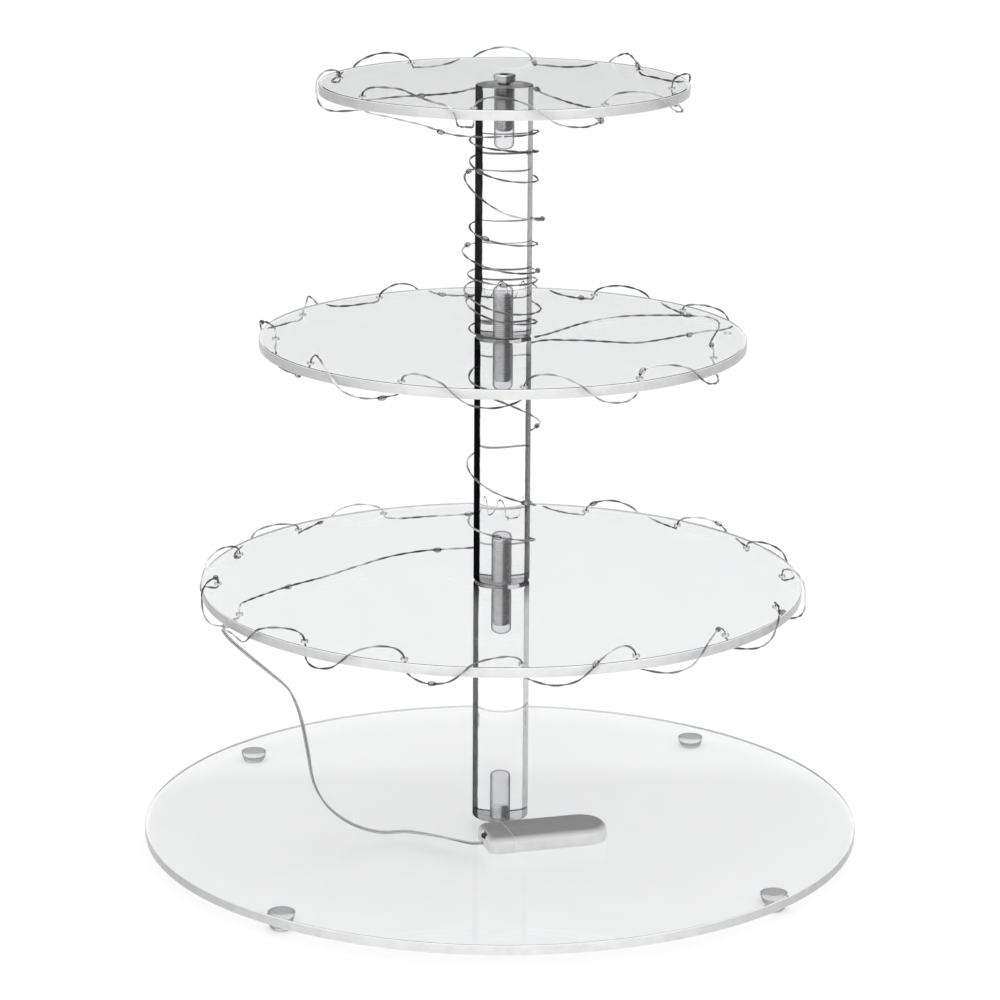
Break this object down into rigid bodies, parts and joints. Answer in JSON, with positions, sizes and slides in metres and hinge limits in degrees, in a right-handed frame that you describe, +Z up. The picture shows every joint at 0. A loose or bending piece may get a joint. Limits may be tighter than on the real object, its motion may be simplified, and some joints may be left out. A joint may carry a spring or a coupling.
{
  "type": "cake stand",
  "caption": "Tiered clear acrylic cake stand on a round post, with a battery light string laced through the tier rims and wound round the post.",
  "frame": {"origin": "on the surface the stand rests on, beneath the middle of the post", "axes": "+Z up along the post; the battery box lies towards -Y and +X, and the lead rises at -X"},
  "size_m": [0.3, 0.3, 0.3262],
  "materials": {
    "clear_acrylic": "clear cast acrylic, polished faces and edges",
    "steel": "plain machined",
    "clear_rubber": "clear soft bumper",
    "case_plastic": "satin moulded",
    "switch_plastic": "moulded",
    "circuit_board": "solder mask",
    "contact_plate": "nickel plated",
    "coin_cell": "plain pressed can",
    "lead": "clear insulation over two cores",
    "string_wire": "silvery lacquered wire"
  },
  "bodies": {
    "stand": {"base_disc": "clear_acrylic", "lower_tier_disc": "clear_acrylic", "middle_tier_disc": "clear_acrylic", "top_tier_disc": "clear_acrylic", "lower_rod": "clear_acrylic", "middle_rod": "clear_acrylic", "upper_rod": "clear_acrylic", "lower_stud": "steel", "upper_stud": "steel", "top_screw": "steel", "base_screw": "steel", "foot_1": "clear_rubber", "foot_2": "clear_rubber", "foot_3": "clear_rubber", "foot_4": "clear_rubber", "battery_case": "case_plastic", "switch_body": "switch_plastic", "control_board": "circuit_board", "positive_contact": "contact_plate", "negative_contact": "contact_plate", "coin_cell_left": "coin_cell", "coin_cell_right": "coin_cell", "lead_wire": "lead", "lower_tier_string": "string_wire", "lower_post_string": "string_wire", "middle_tier_string": "string_wire", "upper_post_string": "string_wire", "top_tier_string": "string_wire"},
    "battery_cover": {"battery_cover": "case_plastic", "bridge_contact": "contact_plate"},
    "power_switch": {"power_switch": "switch_plastic"}
  },
  "joints": [
    {"name": "cover_slide", "type": "slide", "parent": "stand", "child": "battery_cover", "axis": [0.9588, 0.284, 0], "range_m": [0, 0.045]},
    {"name": "switch_slide", "type": "slide", "parent": "stand", "child": "power_switch", "axis": [-0.284, 0.9588, 0], "range_m": [0, 0.002]}
  ]
}
